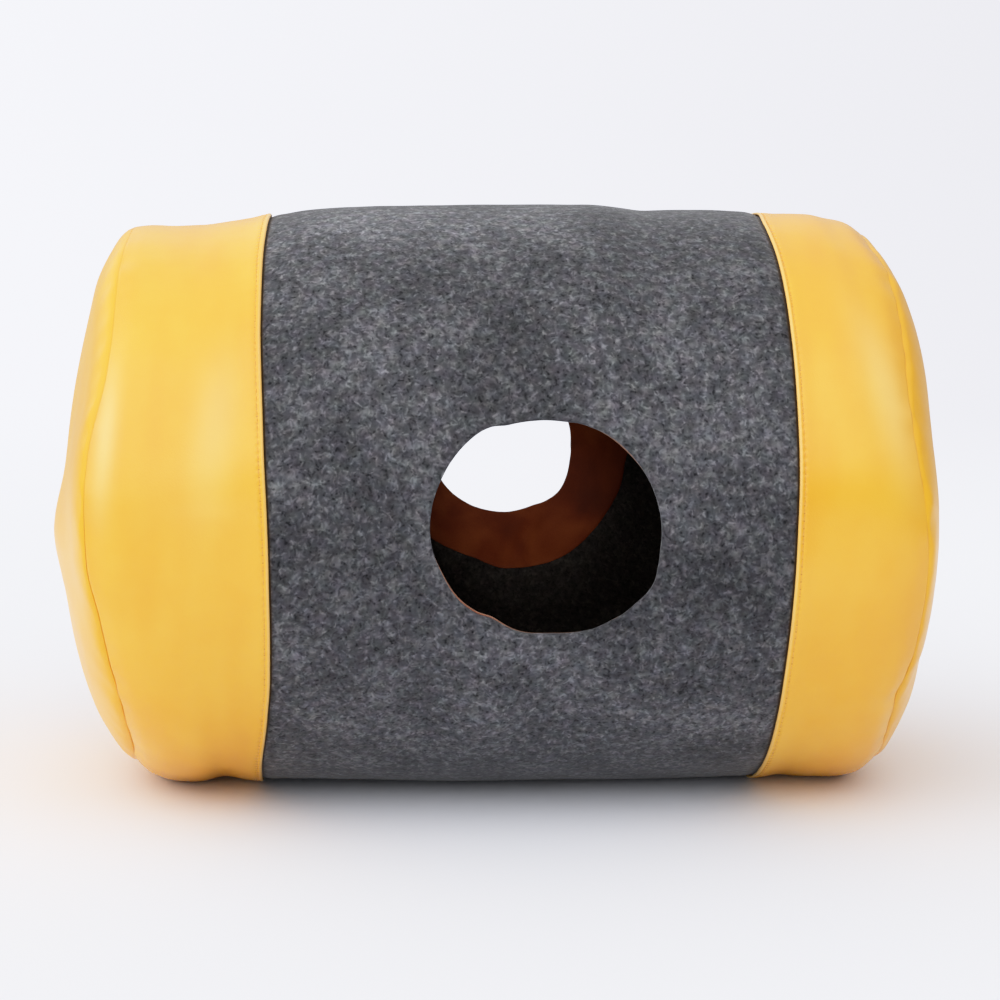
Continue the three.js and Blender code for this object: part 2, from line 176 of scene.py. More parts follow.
# Painted light and shade on the felt: patches painted paler (over 0) or darker where the light falls brighter or
# dimmer, by x and the height s along the wall.
PAINTED_LIGHT_PATCHES = table(
    "x s wide tall amount",
    [
        (-74, 242, 98, 30, 0.84), (-136, 178, 50, 50, 0.20), (47, 120, 28, 44, 0.22), (-8, 108, 22, 48, -0.32),
        (-69, 105, 30, 38, 0.34), (118, 92, 34, 34, 0.34), (-97, -12, 50, 24, -0.28), (124, -30, 50, 34, -0.36),
        (95, 16, 20, 18, 0.26), (2, -77, 40, 17, 0.28), (0, -128, 135, 26, 0.26),
    ],
)


# Painted highlights on the bands' leather: streaks painted paler along ridges and by the rims, where they catch the
# light, by x and s as above.
RIDGE_HIGHLIGHTS = table(
    "x s turn length width amount",
    [(-181, 74, 83, 46, 13, 0.30), (-246, 66, 85.7, 46, 6, 0.50), (-214, 34, 20, 36, 20, 0.08), (224, 92, 102, 58, 12, 0.34)],
)


class Smooth:
    """A table's column as a smooth function of another, with no overshoot."""

    def __init__(self, rows, key, value):
        self.x, self.y = rows[key], rows[value]
        self.h = np.diff(self.x)
        d = np.diff(self.y) / self.h
        p, q = d[:-1], d[1:]
        with np.errstate(divide="ignore", invalid="ignore"):
            inner = np.where(p * q > 0, 2 * p * q / (p + q), 0.0)
        self.m = np.concatenate([d[:1], inner, d[-1:]])

    def __call__(self, v):
        v = np.clip(v, self.x[0], self.x[-1])
        i = np.clip(np.searchsorted(self.x, v, "right") - 1, 0, len(self.h) - 1)
        h = self.h[i]
        t = (v - self.x[i]) / h
        q = 1 - t
        return (
            self.y[i] * (1 + 2 * t) * q * q
            + h * self.m[i] * t * q * q
            + self.y[i + 1] * t * t * (3 - 2 * t)
            + h * self.m[i + 1] * t * t * (t - 1)
        )


TOP, DEEP, SINK = (Smooth(SECTIONS, "u", k) for k in ("top", "deep", "sink"))
LEFT_RIM, LEFT_BAND, RIGHT_BAND, RIGHT_RIM = (
    Smooth(SEAMS, "deg", k) for k in ("left_rim", "left_band", "right_band", "right_rim")
)
FRONT_EDGE, REAR_EDGE, REAR_RIM = (Smooth(k, "deg", "out") for k in (FRONT_CUT, REAR_CUT, REAR_OUT))
FRONT_REACH, REAR_REACH = Smooth(FRONT_SHOWS, "deg", "out"), Smooth(REAR_SHOWS, "deg", "out")


def ease(t):
    c = np.clip(t, 0, 1)
    return c * c * (3 - 2 * c)


class Waves:
    """Seeded smooth unevenness: many faint plane waves with wavelengths between two sizes, in mm."""

    def __init__(self, seed, shortest, longest, count, size, dims=3):
        rng = np.random.default_rng(seed)
        d = rng.normal(size=(count, dims))
        d /= np.linalg.norm(d, axis=1, keepdims=True)
        wave = np.exp(rng.uniform(math.log(shortest), math.log(longest), count))
        self.k = d * (2 * math.pi / wave)[:, None]
        self.phase = rng.uniform(0, 2 * math.pi, count)
        weight = wave / wave.max()
        self.w = size * weight / math.sqrt((weight**2).sum() / 2)

    def __call__(self, p):
        out = np.zeros(p.shape[:-1])
        for k, f, w in zip(self.k, self.phase, self.w):
            out += w * np.sin(p @ k + f)
        return out


SLACK = Waves(11, 70, 190, 20, 0.42)
RIPPLE = Waves(12, 22, 48, 22, 0.07)


# ------------------------------------------------------------------------------------------------------------ the wall
def turned(th):
    return (np.degrees(th) + 90) % 360 - 90


def x_at(u, th):
    d = turned(th)
    lb, rb = LEFT_BAND(d), RIGHT_BAND(d)
    return np.where(
        u < -1,
        lb + (LEFT_RIM(d) - lb) * (-1 - u),
        np.where(u > 1, rb + (RIGHT_RIM(d) - rb) * (u - 1), lb + (rb - lb) * (u + 1) / 2),
    )


def u_at(x, th):
    d = turned(th)
    lb, rb = LEFT_BAND(d), RIGHT_BAND(d)
    return np.where(
        x < lb,
        -1 - (x - lb) / (LEFT_RIM(d) - lb),
        np.where(x > rb, 1 + (x - rb) / (RIGHT_RIM(d) - rb), 2 * (x - lb) / (rb - lb) - 1),
    )


def folds(rows, x, th):
    """The summed height of a table's soft bumps."""
    s = np.radians(turned(th)) * R_NOM
    h = np.zeros(np.broadcast(x, s).shape)
    for fx, fs, turn, length, width, height in zip(*rows.values()):
        c, k = math.cos(math.radians(turn)), math.sin(math.radians(turn))
        a = ((x - fx) * c + (s - fs) * k) / length
        b = (-(x - fx) * k + (s - fs) * c) / width
        h += height * np.exp(-(a * a + b * b))
    return h


def level(u, th):
    sink = SINK(u)
    half = (TOP(u) + sink) / 2
    mid, deep = half - sink, DEEP(u)
    x, c, k = x_at(u, th), np.cos(th), np.sin(th)
    ny, nz = -c * half, k * deep
    n = np.hypot(ny, nz)
    h = folds(FOLDS, x, th) + folds(CREASES, x, th)
    p = np.stack(np.broadcast_arrays(x, -deep * c, mid + half * k), -1)
    h = h + SLACK(p) + RIPPLE(p)
    sole = LEATHER_UP * ease((np.abs(u) - 0.86) / 0.14)
    up = p[..., 2] + h * nz / n - sole
    b = np.maximum(FLOOR_BLEND - np.abs(up), 0) / FLOOR_BLEND
    return np.stack(
        [
            x - CENTRE[0] + 0 * h,
            p[..., 1] + h * ny / n - CENTRE[1],
            sole + np.maximum(up, 0) + b * b * FLOOR_BLEND / 4,
        ],
        -1,
    )


def unit(v):
    return v / np.linalg.norm(v, axis=-1, keepdims=True)


def wall(u, th, off):
    """A point off the felt level, square to it; off outwards is positive."""
    u, th, off = np.broadcast_arrays(np.asarray(u, float), np.asarray(th, float), np.asarray(off, float))
    e = 2e-3
    a = level(u + e, th) - level(u - e, th)
    b = level(u, th + e) - level(u, th - e)
    n = unit(np.cross(b, a))
    return level(u, th) - n * off[..., None]


def at_rim(side, th, along, off):
    """A point at a rim: along outwards along X from the seam, off square to the round."""
    u = np.full(np.shape(th), 2.0 * side)
    p = level(u, th)
    half, deep = (TOP(u) + SINK(u)) / 2, DEEP(u)
    ny, nz = -np.cos(th) * half, np.sin(th) * deep
    n = np.hypot(ny, nz)
    return p + np.stack([side * along + 0 * n, off * ny / n, off * nz / n], -1)


# --------------------------------------------------------------------------------------------------------------- meshes
ROOT = "root"


def build(name, points, faces, uv, slots, materials, marks=None, smooth=True):
    """One mesh object: points in mm, faces as index rows (a quad, or a triangle where its last index repeats), uv per
    point in mm (the second wraps round the barrel), slots per face, marks as named numbers per point."""
    used = np.unique(faces)
    index = np.full(len(points), -1)
    index[used] = np.arange(len(used))
    faces, points, uv = index[faces], points[used], uv[used]
    # turned outwards: the signed volume of a closed body tells
    a = points[faces[:, 0]]
    volume = 0.0
    for i, j in ((1, 2), (2, 3)):
        volume += np.einsum("ij,ij->i", a, np.cross(points[faces[:, i]], points[faces[:, j]])).sum()
    if volume < 0:
        faces = faces[:, ::-1]
    lists = [list(dict.fromkeys(f)) for f in faces.tolist()]
    me = bpy.data.meshes.new(name)
    me.from_pydata((points * 0.001).tolist(), [], lists)
    ends = np.concatenate([np.array(f) for f in lists])
    counts = np.array([len(f) for f in lists])
    face_of = np.repeat(np.arange(len(lists)), counts)
    v = uv[ends].copy()
    top = np.full(len(lists), -1e9)
    np.maximum.at(top, face_of, v[:, 1])
    v[:, 1] += np.where(top[face_of] - v[:, 1] > PERIOD / 2, PERIOD, 0)
    layer = me.uv_layers.new(name="cloth")
    layer.data.foreach_set("uv", (v * 0.001).astype(np.float32).ravel())
    for m in materials:
        me.materials.append(m)
    me.polygons.foreach_set("material_index", np.asarray(slots, np.int32))
    me.polygons.foreach_set("use_smooth", np.full(len(lists), smooth))
    for key, values in (marks or {}).items():
        at = me.attributes.new(key, "FLOAT", "POINT")
        at.data.foreach_set("value", np.asarray(values, np.float32)[used])
    me.update()
    ob = bpy.data.objects.new(name, me)
    scene.collection.objects.link(ob)
    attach(ob, ROOT)
    return ob


def strip(a, b):
    """Quads between two closed loops of point numbers."""
    return np.stack([a, np.roll(a, -1), np.roll(b, -1), b], 1)


def loops(rows, closed):
    """Quads of a stack of closed loops, rows an array of point numbers."""
    pairs = [(rows[i], rows[i + 1]) for i in range(len(rows) - 1)] + ([(rows[-1], rows[0])] if closed else [])
    return [strip(a, b) for a, b in pairs]


# ------------------------------------------------------------------------------------------------------------ materials
def srgb(r, g, b):
    return tuple((c / 255 / 12.92) if c / 255 <= 0.04045 else ((c / 255 + 0.055) / 1.055) ** 2.4 for c in (r, g, b)) + (1.0,)


class Tree:
    """Shorthand for a material's nodes."""

    def __init__(self, name):
        self.m = bpy.data.materials.new(name)
        self.m.use_nodes = True
        self.t = self.m.node_tree
        self.t.nodes.clear()

    def node(self, kind, inputs=None, **settings):
        n = self.t.nodes.new(kind)
        for k, v in settings.items():
            setattr(n, k, v)
        for k, v in (inputs or {}).items():
            self.put(n.inputs[k], v)
        return n

    def put(self, socket, v):
        if hasattr(v, "is_output"):
            self.t.links.new(v, socket)
        elif v is not None:
            socket.default_value = v

    def maths(self, op, a, b=None, c=None, clamp=False):
        n = self.t.nodes.new("ShaderNodeMath")
        n.operation, n.use_clamp = op, clamp
        for i, v in enumerate((a, b, c)):
            if v is not None:
                self.put(n.inputs[i], v)
        return n.outputs[0]

    def vector(self, op, a, b=None, scale=None):
        n = self.t.nodes.new("ShaderNodeVectorMath")
        n.operation = op
        self.put(n.inputs[0], a)
        if b is not None:
            self.put(n.inputs[1], b)
        if scale is not None:
            self.put(n.inputs["Scale"], scale)
        return n.outputs["Value"] if op in ("LENGTH", "DOT_PRODUCT", "DISTANCE") else n.outputs[0]

    def mix(self, f, a, b, blend="MIX"):
        n = self.t.nodes.new("ShaderNodeMix")
        n.data_type, n.blend_type = "RGBA", blend
        self.put(n.inputs[0], f)
        self.put(n.inputs[6], a)
        self.put(n.inputs[7], b)
        return n.outputs[2]

    def noise(self, at, scale, detail=2.0, rough=0.5, distortion=0.0, dims="3D", out=0):
        n = self.node(
            "ShaderNodeTexNoise",
            {"Vector": at, "Scale": scale, "Detail": detail, "Roughness": rough, "Distortion": distortion},
            noise_dimensions=dims,
        )
        return n.outputs[out]

    def ramp(self, f, stops, mode="LINEAR"):
        n = self.t.nodes.new("ShaderNodeValToRGB")
        r = n.color_ramp
        r.interpolation = mode
        while len(r.elements) < len(stops):
            r.elements.new(0.5)
        for e, (p, c) in zip(r.elements, stops):
            e.position = p
            e.color = c if len(c) == 4 else (*c, 1.0)
        self.put(n.inputs[0], f)
        return n.outputs[0]

    def span(self, v, a, b, to_a=0.0, to_b=1.0, kind="SMOOTHSTEP"):
        n = self.node(
            "ShaderNodeMapRange",
            {"Value": v, "From Min": a, "From Max": b, "To Min": to_a, "To Max": to_b},
            interpolation_type=kind,
        )
        return n.outputs[0]

    def mark(self, name):
        return self.node("ShaderNodeAttribute", attribute_name=name).outputs["Fac"]

    def finish(self, inputs):
        p = self.node("ShaderNodeBsdfPrincipled", inputs)
        o = self.node("ShaderNodeOutputMaterial")
        self.t.links.new(p.outputs[0], o.inputs[0])
        return self.m


def fibres(t, at, cell, length, width, seed, curl):
    """A layer of short curved fibres, one in each cell of a plane: returns how much of a fibre is here, and its tone."""
    moved = t.vector("ADD", at, (seed * 0.137, seed * 0.211, 0.0))
    cells = t.node(
        "ShaderNodeTexVoronoi",
        {"Vector": moved, "Scale": 1 / cell, "Randomness": 1.0},
        voronoi_dimensions="2D",
        feature="F1",
    )
    near = t.vector("SUBTRACT", moved, cells.outputs["Position"])
    parts = t.node("ShaderNodeSeparateXYZ", {0: near})
    rand = t.node("ShaderNodeSeparateColor", {0: cells.outputs["Color"]})
    turn = t.maths("MULTIPLY", rand.outputs[0], 6.2832)
    c, s = t.maths("COSINE", turn), t.maths("SINE", turn)
    x, y = parts.outputs[0], parts.outputs[1]
    a = t.maths("ADD", t.maths("MULTIPLY", x, c), t.maths("MULTIPLY", y, s))
    b = t.maths("SUBTRACT", t.maths("MULTIPLY", y, c), t.maths("MULTIPLY", x, s))
    bend = t.maths("MULTIPLY", t.maths("SUBTRACT", rand.outputs[1], 0.5), curl)
    b = t.maths("ADD", b, t.maths("MULTIPLY", t.maths("MULTIPLY", a, a), bend))
    across = t.span(t.maths("ABSOLUTE", b), 0.0, width, 1.0, 0.0)
    along = t.span(t.maths("ABSOLUTE", a), length * 0.55, length, 1.0, 0.0)
    return t.maths("MULTIPLY", across, along), t.maths("SUBTRACT", rand.outputs[2], 0.5)


def felt_material(name, dark, mid, light, sheen, inside=False):
    t = Tree(name)
    plane = t.node("ShaderNodeUVMap", uv_map="cloth").outputs[0]
    wave = t.noise(plane, 170.0, 0.0, 0.5, dims="2D", out=1)
    bent = t.vector("ADD", plane, t.vector("SCALE", t.vector("SUBTRACT", wave, (0.5, 0.5, 0.5)), scale=0.0016))
    total = None
    height = None
    for cell, length, width, seed, curl, amount in (
        (0.0040, 0.0024, 0.00124, 1.0, 40.0, 0.57),
        (0.0033, 0.0019, 0.00104, 2.0, 60.0, 0.57),
        (0.0026, 0.0014, 0.00088, 3.0, 90.0, 0.28),
    ):
        here, tone = fibres(t, bent, cell, length, width, seed, curl)
        add = t.maths("MULTIPLY", t.maths("MULTIPLY", here, tone), amount)
        total = add if total is None else t.maths("ADD", total, add)
        height = here if height is None else t.maths("MAXIMUM", height, here)
    spot = t.node(
        "ShaderNodeTexVoronoi", {"Vector": bent, "Scale": 190.0, "Randomness": 1.0}, voronoi_dimensions="2D", feature="F1"
    ).outputs["Distance"]
    fine = t.noise(bent, 520.0, 1.0, 0.6, dims="2D")
    middle = t.noise(bent, 190.0, 1.0, 0.6, dims="2D")
    cloud = t.noise(plane, 26.0, 2.0, 0.5, dims="2D")
    f = t.maths("ADD", total, 0.51)
    f = t.maths("SUBTRACT", f, t.span(spot, 0.05, 0.20, 0.26, 0.0))
    f = t.maths("ADD", f, t.maths("MULTIPLY", t.maths("SUBTRACT", fine, 0.5), 0.18))
    f = t.maths("ADD", f, t.maths("MULTIPLY", t.maths("SUBTRACT", middle, 0.5), 0.74))
    f = t.maths("ADD", f, t.maths("MULTIPLY", t.maths("SUBTRACT", cloud, 0.5), 0.50))
    colour = t.ramp(f, [(0.0, dark), (0.5, mid), (1.0, light)])
    tint = t.noise(plane, 120.0, 0.0, 0.5, dims="2D", out=1)
    colour = t.mix(0.06, colour, t.mix(1.0, colour, tint, "OVERLAY"))
    up = t.maths("ADD", t.maths("MULTIPLY", height, 0.30), t.maths("MULTIPLY", t.maths("ADD", middle, t.maths("MULTIPLY", fine, 0.4)), 0.60))
    if not inside:
        # painted light and shade: broad patches painted paler and darker
        painted_light = t.maths("ADD", 1.0, t.mark("painted_light"))
        colour = t.vector("SCALE", colour, scale=painted_light)
        # a warm painted bounce of the band's yellow and a dark painted shadow along a band's folded edge, and drawn in
        # at its stitches
        seam = t.mark("seam")
        ragged_seam = t.maths("ADD", seam, t.maths("MULTIPLY", t.maths("SUBTRACT", fine, 0.5), 1.1))
        colour = t.mix(t.span(ragged_seam, 0.7, 3.2, 0.75, 0.0), colour, t.mix(1.0, colour, SEAM_PAINTED_BOUNCE, "MULTIPLY"))
        colour = t.mix(t.span(seam, 0.95, 1.55, 0.94, 0.0), colour, SEAM_PAINTED_SHADOW)
        pull = t.maths("COSINE", t.maths("MULTIPLY", t.node("ShaderNodeSeparateXYZ", {0: plane}).outputs[1], 2000 * math.pi / STITCH))
        pull = t.maths("MULTIPLY", pull, t.span(seam, 0.4, 4.5, 0.25, 0.0))
        up = t.maths("ADD", up, pull)
    bump = t.node("ShaderNodeBump", {"Strength": 0.36, "Distance": 0.0004, "Height": up})
    return t.finish(
        {
            "Base Color": colour,
            "Roughness": 0.94,
            "Specular IOR Level": 0.10,
            "Sheen Weight": sheen,
            "Sheen Roughness": 0.42,
            "Sheen Tint": (0.88, 0.89, 0.92, 1.0),
            "Normal": bump.outputs[0],
        }
    )


def leather_material(name, deep, mid, pale, banded=False, rough=0.27, specular=0.6, drawn=0.28, patches=(0.8, 0.7)):
    """Smooth leather with a fine pebble, a little lighter and deeper in broad patches, which are longer where it is drawn."""
    t = Tree(name)
    place = t.node("ShaderNodeTexCoord").outputs["Object"]
    plane = t.node("ShaderNodeUVMap", uv_map="cloth").outputs[0]
    pebble = t.node("ShaderNodeTexVoronoi", {"Vector": place, "Scale": 950.0, "Randomness": 0.9}, feature="F1").outputs["Distance"]
    long = t.node("ShaderNodeMapping", {"Vector": plane, "Scale": (1.0, drawn, 1.0)}).outputs[0]
    streak = t.noise(long, 34.0, 1.0, 0.5, dims="2D")
    broad = t.noise(place, 8.0, 1.0, 0.5)
    cloud = t.noise(place, 60.0, 2.0, 0.6)
    f = t.maths("ADD", 0.5, t.maths("MULTIPLY", t.maths("SUBTRACT", broad, 0.5), patches[0]))
    f = t.maths("ADD", f, t.maths("MULTIPLY", t.maths("SUBTRACT", streak, 0.5), patches[1]))
    f = t.maths("ADD", f, t.maths("MULTIPLY", t.maths("SUBTRACT", cloud, 0.5), 0.25))
    up = t.maths("MULTIPLY", pebble, -0.7)
    colour = t.ramp(f, [(0.0, deep), (0.5, mid), (1.0, pale)])
    if banded:
        # painted highlights along ridges and on the folded edge, drawn in at the stitches, and painted shade in their
        # holes
        edge = t.mark("edge")
        along = t.node("ShaderNodeSeparateXYZ", {0: plane}).outputs[1]
        hole = t.maths("MULTIPLY", t.maths("COSINE", t.maths("MULTIPLY", along, 2000 * math.pi / STITCH)), -1.0)
        away = t.maths("ABSOLUTE", t.maths("SUBTRACT", edge, STITCH_IN))
        # painted highlight along ridges, from the pale mark
        colour = t.mix(t.mark("pale"), colour, RIDGE_HIGHLIGHT_PAINT)
        # painted highlight on the rolled folded edge
        colour = t.mix(t.span(edge, 0.5, 1.9, 0.60, 0.0), colour, EDGE_PAINTED_HIGHLIGHT)
        some = t.span(t.noise(plane, 60.0, 0.0, 0.5, dims="2D"), 0.38, 0.62, 0.05, 0.6)
        # painted shade in the stitch holes
        dark = t.maths("MULTIPLY", t.maths("MULTIPLY", t.span(hole, 0.72, 1.0), t.span(away, 0.25, 0.75, 1.0, 0.0)), some)
        colour = t.mix(dark, colour, STITCH_HOLE_PAINTED_SHADE)
        up = t.maths("SUBTRACT", up, t.maths("MULTIPLY", hole, t.span(away, 0.0, 3.0, 1.6, 0.0)))
    bump = t.node("ShaderNodeBump", {"Strength": 0.28, "Distance": 0.00022, "Height": up})
    return t.finish({"Base Color": colour, "Roughness": rough, "Specular IOR Level": specular, "Normal": bump.outputs[0]})


def backing_material(name, dark, light):
    """The brushed cloth back of the coated leather."""
    t = Tree(name)
    place = t.node("ShaderNodeTexCoord").outputs["Object"]
    f = t.noise(place, 420.0, 4.0, 0.65, 0.6)
    bump = t.node("ShaderNodeBump", {"Strength": 0.5, "Distance": 0.0004, "Height": f})
    return t.finish({"Base Color": t.ramp(f, [(0.2, dark), (0.8, light)]), "Roughness": 0.95, "Specular IOR Level": 0.1, "Normal": bump.outputs[0]})


def facing_material(name, deep, mid, pale, cut_edge):
    """Smooth leather, lighter and darker in broad patches, with a pale raw edge round the opening."""
    t = Tree(name)
    place = t.node("ShaderNodeTexCoord").outputs["Object"]
    grain = t.noise(place, 900.0, 2.0, 0.6)
    cloud = t.noise(place, 24.0, 2.0, 0.55, 0.4)
    f = t.maths("ADD", cloud, t.maths("MULTIPLY", t.maths("SUBTRACT", grain, 0.5), 0.16))
    colour = t.ramp(f, [(0.28, deep), (0.5, mid), (0.74, pale)])
    colour = t.mix(t.span(t.mark("edge"), 0.15, 0.7, 0.75, 0.0), colour, cut_edge)
    bump = t.node("ShaderNodeBump", {"Strength": 0.3, "Distance": 0.0003, "Height": grain})
    return t.finish({"Base Color": colour, "Roughness": 0.6, "Specular IOR Level": 0.14, "Normal": bump.outputs[0]})


def thread_material(name, dark, light):
    t = Tree(name)
    place = t.node("ShaderNodeTexCoord").outputs["Object"]
    twist = t.node("ShaderNodeTexWave", {"Vector": place, "Scale": 900.0, "Distortion": 2.0}, wave_type="BANDS", bands_direction="DIAGONAL").outputs[1]
    bump = t.node("ShaderNodeBump", {"Strength": 0.5, "Distance": 0.0001, "Height": twist})
    return t.finish({"Base Color": t.ramp(twist, [(0.0, dark), (1.0, light)]), "Roughness": 0.6, "Normal": bump.outputs[0]})


# painted highlight on the bands' folded edge
EDGE_PAINTED_HIGHLIGHT = srgb(250, 203, 122)
# painted highlight along ridges of the bands
RIDGE_HIGHLIGHT_PAINT = srgb(253, 222, 150)
# painted shade in the stitch holes
STITCH_HOLE_PAINTED_SHADE = srgb(176, 104, 30)
# painted shadow on the felt along the bands' edges
SEAM_PAINTED_SHADOW = srgb(58, 40, 14)
# painted warm bounce of the yellow on the felt along the bands' edges
SEAM_PAINTED_BOUNCE = (1.0, 0.80, 0.62, 1.0)
FELT = felt_material("felt_grey", srgb(29, 29, 32), srgb(71, 71, 75), srgb(119, 119, 123), 0.26)
# the inside face is darker and browner than the outside: painted shade of the dim inside
FELT_IN = felt_material("felt_grey_inside", srgb(34, 30, 27), srgb(62, 56, 52), srgb(92, 84, 78), 0.0, inside=True)
YELLOW = srgb(237, 162, 32), srgb(245, 175, 38), srgb(251, 190, 59)
YELLOW_DISC = srgb(237, 164, 34), srgb(245, 177, 41), srgb(251, 192, 62)
LEATHER = leather_material("leather_yellow", *YELLOW_DISC, rough=0.29, specular=0.34, drawn=1.0, patches=(0.5, 0.2))
LEATHER_BAND = leather_material("leather_yellow_band", *YELLOW, banded=True)
FACING = facing_material("leather_chestnut", srgb(118, 44, 16), srgb(150, 60, 22), srgb(184, 88, 38), srgb(152, 122, 102))
BACKING = backing_material("leather_back", srgb(70, 58, 48), srgb(112, 96, 82))
THREAD = thread_material("thread_yellow", srgb(222, 152, 42), srgb(246, 187, 80))


# ------------------------------------------------------------------------------------------------------------- the felt
def opening_ring(o, angle, grow):
    """Points of an opening's cut edge on the flat wall, moved outwards by grow."""
    r = o["radius"] + grow + (FRONT_EDGE if o is FRONT else REAR_EDGE)(np.degrees(angle) % 360)
    return np.stack([o["x"] + r * np.cos(angle), o["t"] + r * np.sin(angle)], -1)


def ragged(angle, seed, size):
    rng = np.random.default_rng(seed)
    out = np.zeros_like(angle)
    for n in (5, 9, 14, 23, 37, 61, 90):
        out += rng.normal() * np.sin(n * angle + rng.uniform(0, 6.28)) / n**0.35
    return out * size


def pressed(d):
    """How far a band's stitched edge presses the felt, by the distance from the edge in mm."""
    return -0.55 * np.exp(-((d / 1.7) ** 2)) + 0.22 * np.exp(-(((d - 6) / 3.2) ** 2))


def painted_light_at(flat):
    """How much paler or darker the felt's painted light and shade is at points of the flat wall."""
    out = np.zeros(len(flat))
    for x, s, wide, tall, amount in zip(*PAINTED_LIGHT_PATCHES.values()):
        out += amount * np.exp(-(((flat[:, 0] - x) / wide) ** 2) - (((flat[:, 1] - s) / tall) ** 2))
    return out


def felt_piece():
    turns = 384
    th = np.radians(-90) + 2 * math.pi * np.arange(turns) / turns
    near = np.array([-12, -7, -3, -0.6, 0, 0.6, 1.3, 2.2, 3.4, 5, 7, 9.5, 12.5]) / 320
    middle = np.linspace(12.5 / 320, 1 - 12.5 / 320, 76)[1:-1]
    q = np.concatenate([near, middle, 1 - near[::-1]])
    n = len(q)
    Q, T = np.meshgrid(q, th)
    d = turned(T)
    lb, rb = LEFT_BAND(d), RIGHT_BAND(d)
    X = lb + (rb - lb) * Q
    flat = [np.stack([X, T * R_NOM], -1).reshape(-1, 2)]
    number = np.arange(turns * n).reshape(turns, n)
    keep = np.ones((turns, n - 1), bool)
    holes = []
    base = turns * n
    for o, half, seed in ((FRONT, 92, 5), (REAR, 76, 6)):
        j = lambda v: int(round((v / R_NOM + math.pi / 2) / (2 * math.pi) * turns))
        ja, jb = j(o["t"] - half), j(o["t"] + half)
        row = X[(ja + jb) // 2]
        ia, ib = int(np.argmin(abs(row - (o["x"] - half)))), int(np.argmin(abs(row - (o["x"] + half))))
        keep[ja:jb, ia:ib] = False
        rim = np.concatenate(
            [number[ja, ia:ib], number[ja:jb, ib], number[jb, ib:ia:-1], number[jb:ja:-1, ia]]
        )
        at = flat[0][rim]
        angle = np.arctan2(at[:, 1] - o["t"], at[:, 0] - o["x"])
        edge = opening_ring(o, angle, 0.45 + ragged(angle, seed, 0.10))
        rings = [rim]
        shares = [0.8, 0.62, 0.47, 0.35, 0.25, 0.17, 0.11, 0.065, 0.03, 0.0]
        for share in shares:
            flat.append(edge + (at - edge) * share)
            rings.append(base + np.arange(len(rim)))
            base += len(rim)
        holes.append((o, angle, rings, edge))
    flat = np.concatenate(flat)
    tt = flat[:, 1] / R_NOM
    uu = u_at(flat[:, 0], tt)
    dd = turned(tt)
    seam = np.minimum(flat[:, 0] - LEFT_BAND(dd), RIGHT_BAND(dd) - flat[:, 0])
    out = wall(uu, tt, np.minimum(pressed(seam), 0.25))
    inn = wall(uu, tt, -FELT_T)
    count = len(flat)
    quads = np.stack([number, np.roll(number, -1, 0)], -1)
    quads = np.stack([quads[:, :-1, 0], quads[:, 1:, 0], quads[:, 1:, 1], quads[:, :-1, 1]], -1)[keep]
    for _, _, rings, _ in holes:
        quads = np.concatenate([quads, *loops(rings, False)])
    points, uvs = [out, inn], [flat, flat]
    seams = [seam, seam]
    faces, slots = [quads, quads[:, ::-1] + count], [np.zeros(len(quads)), np.ones(len(quads))]
    base = 2 * count
    # the two ends under the bands
    for i, flip in ((0, False), (n - 1, True)):
        a = strip(number[:, i], number[:, i] + count)
        faces.append(a if flip else a[:, ::-1])
        slots.append(np.zeros(len(a)))
    # the cut edges
    for o, angle, rings, edge in holes:
        last = rings[-1]
        chain = [last]
        centre = np.array([o["x"], o["t"]])
        for grow, off in ((0.14, -0.12), (0.0, -0.5), (0.03, -1.5), (0.0, -2.5), (0.14, -2.88)):
            way = unit(edge - centre)
            p = edge + way * (grow - 0.45)
            points.append(wall(u_at(p[:, 0], p[:, 1] / R_NOM), p[:, 1] / R_NOM, np.full(len(p), off)))
            uvs.append(p + way * off)
            seams.append(np.full(len(p), 50.0))
            chain.append(base + np.arange(len(p)))
            base += len(p)
        chain.append(last + count)
        new = loops(chain, False)
        faces += new
        slots.append(np.zeros(sum(len(f) for f in new)))
    return build(
        "felt_wall",
        np.concatenate(points),
        np.concatenate(faces),
        np.concatenate(uvs),
        np.concatenate(slots),
        [FELT, FELT_IN],
        {"seam": np.concatenate(seams), "painted_light": painted_light_at(np.concatenate(uvs))},
    )


# ------------------------------------------------------------------------------------------------------------ the bands
# Across a band from its folded edge: distance from the edge and height of the outer face over the felt's level.
HEM = table(
    "a off",
    [
        (-0.2, 1.0), (0.0, 1.55), (0.3, 2.0), (0.75, 2.27), (1.4, 2.36), (2.0, 2.28), (2.5, 2.12), (2.9, 2.03),
        (3.3, 2.08), (3.8, 2.2), (4.6, 2.3), (5.8, 2.28), (7.2, 2.18), (8.8, 2.06), (10.5, 1.96), (12.5, 1.9),
        (15.0, 1.9), (18.0, 1.9),
    ],
)
HEM_OFF = Smooth(HEM, "a", "off")


def lifted(th, side, off):
    """The hem's extra height, gone where the barrel lies on the floor."""
    z = level(np.full(np.shape(th), 1.0 * side), th)[..., 2] - LEATHER_UP
    return LEATHER_UP + (off - LEATHER_UP) * ease((z - 1) / 9)


def band_point(side, a, th, off):
    d = turned(th)
    x0 = LEFT_BAND(d) if side < 0 else RIGHT_BAND(d)
    return wall(u_at(x0 + side * a, th), th, off)


PUCKER = Waves(21, 0.10, 0.24, 26, 1.0, dims=2)


def rim_pucker(side, th):
    """Small gathers round a turned seam, from -1 to 1 or so."""
    p = np.stack([np.cos(th), np.sin(th)], -1) + side * 3.0
    return PUCKER(p)


